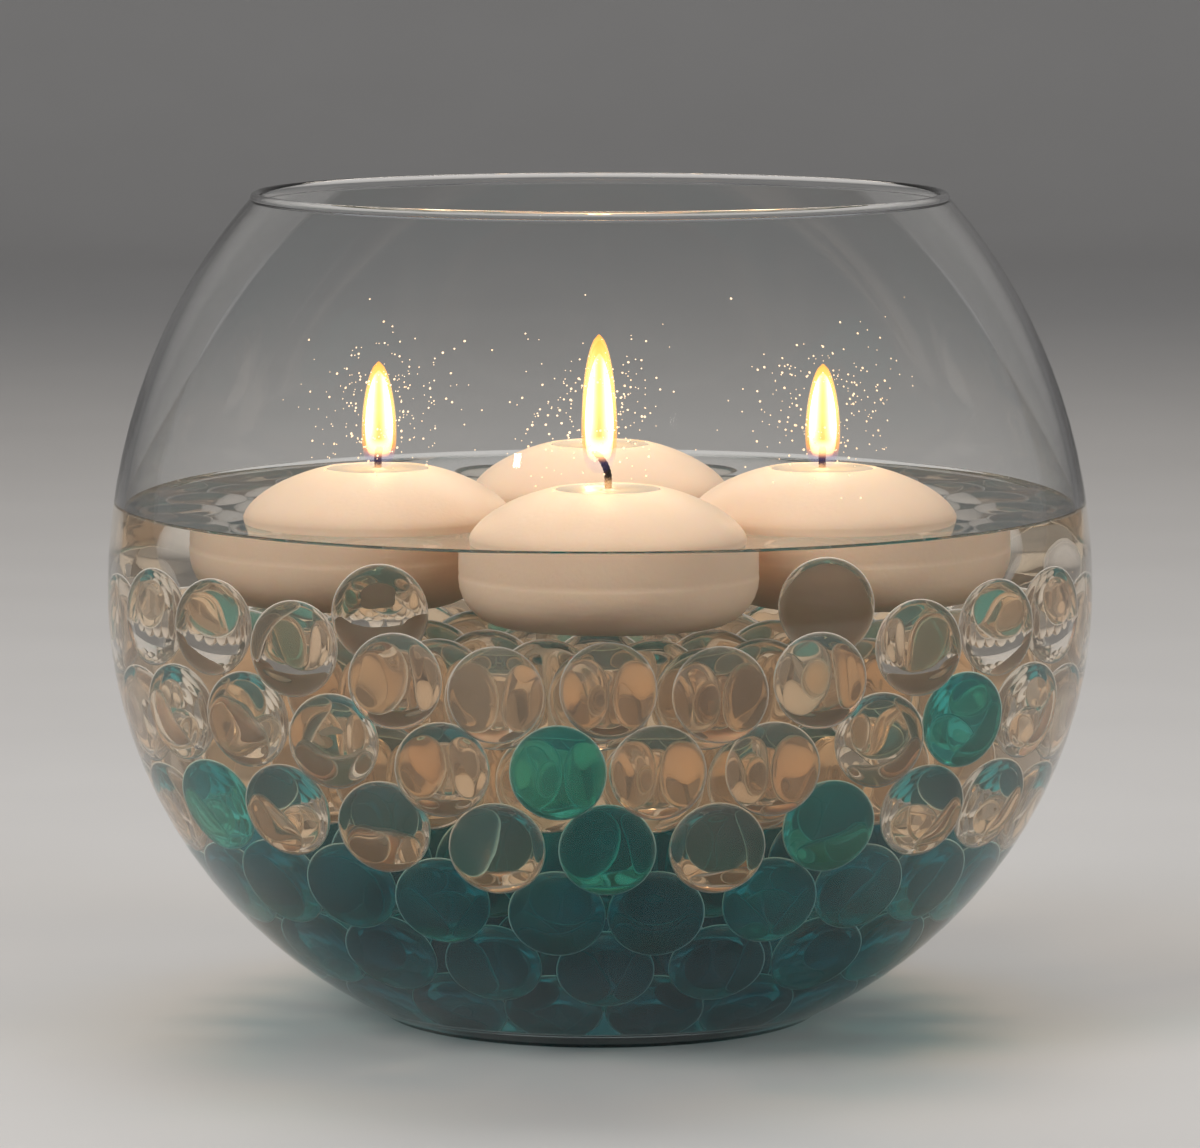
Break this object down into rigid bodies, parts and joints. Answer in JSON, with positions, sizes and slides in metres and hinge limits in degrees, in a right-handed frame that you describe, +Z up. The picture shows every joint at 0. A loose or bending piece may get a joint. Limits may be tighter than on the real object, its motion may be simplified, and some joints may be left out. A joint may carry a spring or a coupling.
{
  "type": "floating candle bowl",
  "caption": "Clear glass bubble bowl with water over a bed of clear and teal marbles, and round floating candles that lift out through the mouth.",
  "frame": {"origin": "middle of the foot, on the surface that the bowl stands on", "axes": "+Z up, +X to the viewer's right, +Y away from the viewer"},
  "size_m": [0.254, 0.254, 0.213],
  "materials": {
    "bowl_glass": "clear blown glass, fire-polished rim",
    "water": "clear still water",
    "clear_glass": "clear glass, faint champagne tint",
    "teal_glass": "transparent teal glass",
    "wax": "satin ivory candle wax",
    "wick": "braided cotton, charred at the tip",
    "tin": "thin tinned sheet"
  },
  "bodies": {
    "bowl": {"glass_bowl": "bowl_glass", "water": "water", "teal_marbles_row_1": "teal_glass", "teal_marbles_row_2": "teal_glass", "teal_marbles_row_3": "teal_glass", "clear_marbles_row_4": "clear_glass", "clear_marbles_row_5": "clear_glass", "clear_marbles_row_6": "clear_glass", "clear_marbles_top_row": "clear_glass", "stray_teal_marbles": "teal_glass", "teal_marbles_core": "teal_glass", "clear_marbles_core": "clear_glass"},
    "front_candle": {"front_candle_wax": "wax", "front_candle_wick": "wick", "front_candle_sustainer": "tin"},
    "back_candle": {"back_candle_wax": "wax", "back_candle_wick": "wick", "back_candle_sustainer": "tin"},
    "left_candle": {"left_candle_wax": "wax", "left_candle_wick": "wick", "left_candle_sustainer": "tin"},
    "right_candle": {"right_candle_wax": "wax", "right_candle_wick": "wick", "right_candle_sustainer": "tin"}
  },
  "joints": [
    {"name": "front_candle_lift", "type": "slide", "parent": "bowl", "child": "front_candle", "axis": [-0.0178, 0.3809, 0.9245], "range_m": [0, 0.1125]},
    {"name": "back_candle_lift", "type": "slide", "parent": "bowl", "child": "back_candle", "axis": [0, 0.257, 0.9664], "range_m": [0, 0.1076]},
    {"name": "left_candle_lift", "type": "slide", "parent": "bowl", "child": "left_candle", "axis": [0.0573, 0.3612, 0.9307], "range_m": [0, 0.1117]},
    {"name": "right_candle_lift", "type": "slide", "parent": "bowl", "child": "right_candle", "axis": [-0.0573, 0.3612, 0.9307], "range_m": [0, 0.1117]}
  ]
}
